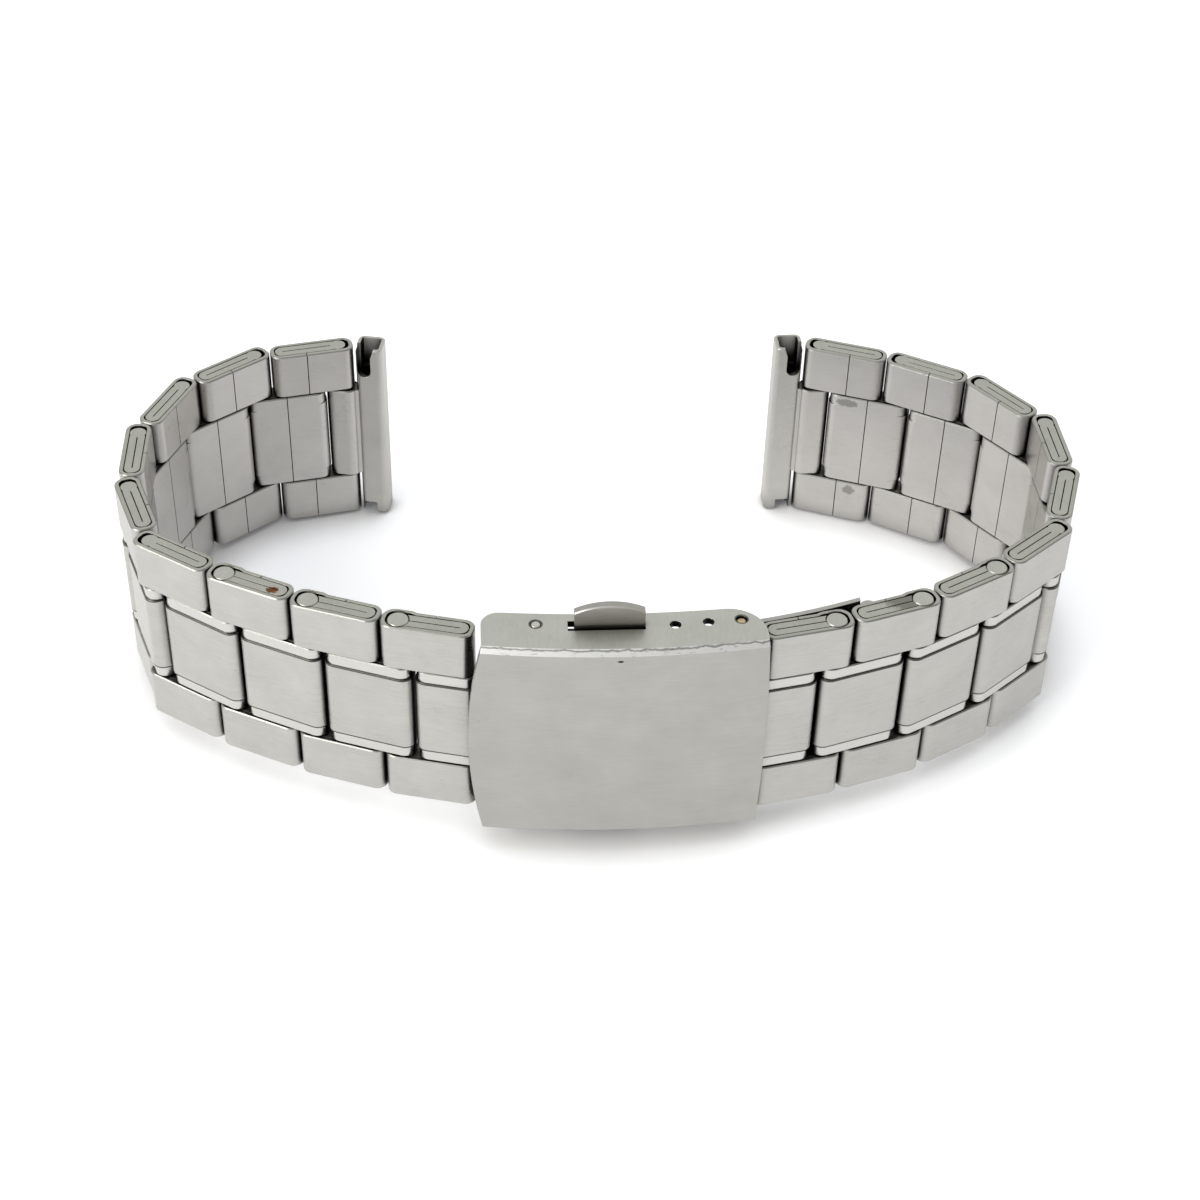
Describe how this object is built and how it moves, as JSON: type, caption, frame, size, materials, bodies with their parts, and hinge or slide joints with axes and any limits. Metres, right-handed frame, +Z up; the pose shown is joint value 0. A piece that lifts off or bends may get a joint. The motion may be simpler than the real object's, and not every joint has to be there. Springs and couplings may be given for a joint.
{
  "type": "link watch bracelet",
  "caption": "Three-row folded-link steel watch bracelet with end tubes for spring bars and a fold-over clasp with push buttons.",
  "frame": {"origin": "middle of the bounding box's base, where the bracelet stands on its edge", "axes": "+Z up across the band's width, parallel to every hinge; +X along the clasp to the right as worn outwards; -Y out of the clasp's outer face, about"},
  "size_m": [0.0892, 0.05, 0.0262],
  "materials": {
    "link_steel": "brushed",
    "end_tube_steel": "brushed",
    "strip_steel": "brushed",
    "pin_steel": "brushed",
    "blade_steel": "brushed",
    "button_steel": "brushed",
    "cover_steel": "brushed",
    "spring_steel": "brushed",
    "tip_brass": "dull"
  },
  "bodies": {
    "cover": {"clasp_cover": "cover_steel", "cover_hinge_pin": "pin_steel", "button_guides": "blade_steel", "button_spring": "spring_steel", "clasp_spring_bar": "pin_steel", "clasp_spring_bar_tips": "tip_brass"},
    "middle_blade": {"middle_blade": "blade_steel", "blade_hinge_pin": "pin_steel"},
    "inner_blade": {"inner_blade": "blade_steel", "catch_post": "pin_steel", "band_end_pin": "pin_steel"},
    "top_push_button": {"top_push_button": "button_steel"},
    "bottom_push_button": {"bottom_push_button": "button_steel"},
    "left_link_9": {"left_link_9_wraps": "link_steel", "left_link_9_strip": "strip_steel", "left_link_9_pin": "pin_steel"},
    "left_link_8": {"left_link_8_wraps": "link_steel", "left_link_8_strip": "strip_steel", "left_link_8_pin": "pin_steel"},
    "left_link_7": {"left_link_7_wraps": "link_steel", "left_link_7_strip": "strip_steel", "left_link_7_pin": "pin_steel"},
    "left_link_6": {"left_link_6_wraps": "link_steel", "left_link_6_core": "strip_steel"},
    "left_link_5": {"left_link_5_wraps": "link_steel", "left_link_5_core": "strip_steel"},
    "left_link_4": {"left_link_4_wraps": "link_steel", "left_link_4_core": "strip_steel"},
    "left_link_3": {"left_link_3_wraps": "link_steel", "left_link_3_core": "strip_steel"},
    "left_link_2": {"left_link_2_wraps": "link_steel", "left_link_2_core": "strip_steel"},
    "left_link_1": {"left_link_1_wraps": "link_steel", "left_link_1_core": "strip_steel"},
    "left_end": {"left_end_tube": "end_tube_steel", "left_end_tongue": "link_steel"},
    "right_link_9": {"right_link_9_wraps": "link_steel", "right_link_9_strip": "strip_steel", "right_link_9_pin": "pin_steel"},
    "right_link_8": {"right_link_8_wraps": "link_steel", "right_link_8_strip": "strip_steel", "right_link_8_pin": "pin_steel"},
    "right_link_7": {"right_link_7_wraps": "link_steel", "right_link_7_strip": "strip_steel", "right_link_7_pin": "pin_steel"},
    "right_link_6": {"right_link_6_wraps": "link_steel", "right_link_6_core": "strip_steel"},
    "right_link_5": {"right_link_5_wraps": "link_steel", "right_link_5_core": "strip_steel"},
    "right_link_4": {"right_link_4_wraps": "link_steel", "right_link_4_core": "strip_steel"},
    "right_link_3": {"right_link_3_wraps": "link_steel", "right_link_3_core": "strip_steel"},
    "right_link_2": {"right_link_2_wraps": "link_steel", "right_link_2_core": "strip_steel"},
    "right_link_1": {"right_link_1_wraps": "link_steel", "right_link_1_core": "strip_steel"},
    "right_end": {"right_end_tube": "end_tube_steel", "right_end_tongue": "link_steel"}
  },
  "joints": [
    {"name": "clasp_fold", "type": "hinge", "parent": "cover", "child": "middle_blade", "pos_m": [-0.00503, -0.02139, 0.0131], "axis": [0, 0, 1], "range_deg": [0, 165]},
    {"name": "blade_fold", "type": "hinge", "parent": "middle_blade", "child": "inner_blade", "pos_m": [0.02399, -0.01402, 0.0131], "axis": [0, 0, -1], "range_deg": [0, 165]},
    {"name": "top_press", "type": "slide", "parent": "cover", "child": "top_push_button", "axis": [0, 0, -1], "range_m": [0, 0.0012], "stiffness_N_per_m": 1500, "springref_m": -0.0003, "deforming": ["button_spring"]},
    {"name": "bottom_press", "type": "slide", "parent": "cover", "child": "bottom_push_button", "axis": [0, 0, 1], "range_m": [0, 0.0012], "stiffness_N_per_m": 1500, "springref_m": -0.0003, "deforming": ["button_spring"]},
    {"name": "left_link_9_hinge", "type": "hinge", "parent": "inner_blade", "child": "left_link_9", "pos_m": [-0.00845, -0.02059, 0.0131], "axis": [0, 0, -1], "range_deg": [-20, 20]},
    {"name": "left_link_8_hinge", "type": "hinge", "parent": "left_link_9", "child": "left_link_8", "pos_m": [-0.0168, -0.02029, 0.0131], "axis": [0, 0, 1], "range_deg": [-38.6, 12.4]},
    {"name": "left_link_7_hinge", "type": "hinge", "parent": "left_link_8", "child": "left_link_7", "pos_m": [-0.02476, -0.01801, 0.0131], "axis": [0, 0, -1], "range_deg": [-12.9, 38.1]},
    {"name": "left_link_6_hinge", "type": "hinge", "parent": "left_link_7", "child": "left_link_6", "pos_m": [-0.03239, -0.01479, 0.0131], "axis": [0, 0, 1], "range_deg": [-37.3, 13.7]},
    {"name": "left_link_5_hinge", "type": "hinge", "parent": "left_link_6", "child": "left_link_5", "pos_m": [-0.03951, -0.01057, 0.0131], "axis": [0, 0, -1], "range_deg": [-42.6, 8.4]},
    {"name": "left_link_4_hinge", "type": "hinge", "parent": "left_link_5", "child": "left_link_4", "pos_m": [-0.04272, -0.00294, 0.0131], "axis": [0, 0, 1], "range_deg": [-26, 25]},
    {"name": "left_link_3_hinge", "type": "hinge", "parent": "left_link_4", "child": "left_link_3", "pos_m": [-0.04327, 0.00532, 0.0131], "axis": [0, 0, -1], "range_deg": [-30.2, 20.8]},
    {"name": "left_link_2_hinge", "type": "hinge", "parent": "left_link_3", "child": "left_link_2", "pos_m": [-0.04038, 0.01308, 0.0131], "axis": [0, 0, 1], "range_deg": [-17.1, 33.9]},
    {"name": "left_link_1_hinge", "type": "hinge", "parent": "left_link_2", "child": "left_link_1", "pos_m": [-0.0342, 0.01859, 0.0131], "axis": [0, 0, -1], "range_deg": [-32.1, 18.9]},
    {"name": "left_end_hinge", "type": "hinge", "parent": "left_link_1", "child": "left_end", "pos_m": [-0.02623, 0.02082, 0.0131], "axis": [0, 0, 1], "range_deg": [-23, 28]},
    {"name": "right_link_9_hinge", "type": "hinge", "parent": "cover", "child": "right_link_9", "pos_m": [0.01244, -0.01999, 0.0131], "axis": [0, 0, 1], "range_deg": [-14, 4]},
    {"name": "right_link_8_hinge", "type": "hinge", "parent": "right_link_9", "child": "right_link_8", "pos_m": [0.0207, -0.01875, 0.0131], "axis": [0, 0, -1], "range_deg": [-12, 12]},
    {"name": "right_link_7_hinge", "type": "hinge", "parent": "right_link_8", "child": "right_link_7", "pos_m": [0.02836, -0.0156, 0.0131], "axis": [0, 0, 1], "range_deg": [-17.1, 33.9]},
    {"name": "right_link_6_hinge", "type": "hinge", "parent": "right_link_7", "child": "right_link_6", "pos_m": [0.03528, -0.01105, 0.0131], "axis": [0, 0, -1], "range_deg": [-34.5, 16.5]},
    {"name": "right_link_5_hinge", "type": "hinge", "parent": "right_link_6", "child": "right_link_5", "pos_m": [0.04124, -0.0053, 0.0131], "axis": [0, 0, 1], "range_deg": [-38.1, 12.9]},
    {"name": "right_link_4_hinge", "type": "hinge", "parent": "right_link_5", "child": "right_link_4", "pos_m": [0.04325, 0.00273, 0.0131], "axis": [0, 0, -1], "range_deg": [-25, 26]},
    {"name": "right_link_3_hinge", "type": "hinge", "parent": "right_link_4", "child": "right_link_3", "pos_m": [0.04238, 0.01096, 0.0131], "axis": [0, 0, 1], "range_deg": [-40.7, 10.3]},
    {"name": "right_link_2_hinge", "type": "hinge", "parent": "right_link_3", "child": "right_link_2", "pos_m": [0.03698, 0.01724, 0.0131], "axis": [0, 0, -1], "range_deg": [-21.7, 29.3]},
    {"name": "right_link_1_hinge", "type": "hinge", "parent": "right_link_2", "child": "right_link_1", "pos_m": [0.02954, 0.02087, 0.0131], "axis": [0, 0, 1], "range_deg": [-15.9, 35.1]},
    {"name": "right_end_hinge", "type": "hinge", "parent": "right_link_1", "child": "right_end", "pos_m": [0.02158, 0.02317, 0.0131], "axis": [0, 0, -1], "range_deg": [-23, 28]}
  ],
  "couplings": [
    {"joint": "blade_fold", "follows": "clasp_fold", "ratio": 1}
  ]
}
